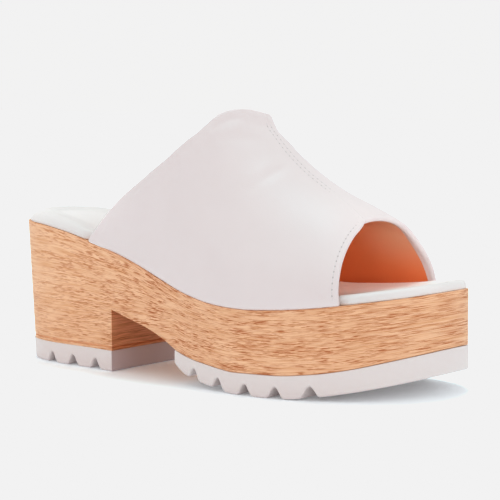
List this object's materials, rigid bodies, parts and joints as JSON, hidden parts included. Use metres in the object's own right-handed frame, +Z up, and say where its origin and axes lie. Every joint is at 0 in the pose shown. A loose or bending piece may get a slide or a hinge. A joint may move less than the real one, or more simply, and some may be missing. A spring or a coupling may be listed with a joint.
{
  "type": "platform mule",
  "caption": "Women's open-toed, backless platform mule with a leather upper, wood-look platform, block heel and lugged rubber treads.",
  "frame": {"origin": "on the floor, under the middle of the sole's bounding box", "axes": "+X towards the toe, +Y towards the inner (medial) side of the foot, +Z up"},
  "size_m": [0.245, 0.0952, 0.128],
  "materials": {
    "upper_leather": "smooth, softly shining, off-white",
    "insole_cover": "smooth, off-white",
    "wood_look_film": "printed wood grain, satin",
    "tread_rubber": "moulded, matt"
  },
  "bodies": {
    "root": {"upper": "upper_leather", "insole": "insole_cover", "platform": "wood_look_film", "heel_tread": "tread_rubber", "forefoot_tread": "tread_rubber"}
  },
  "joints": []
}
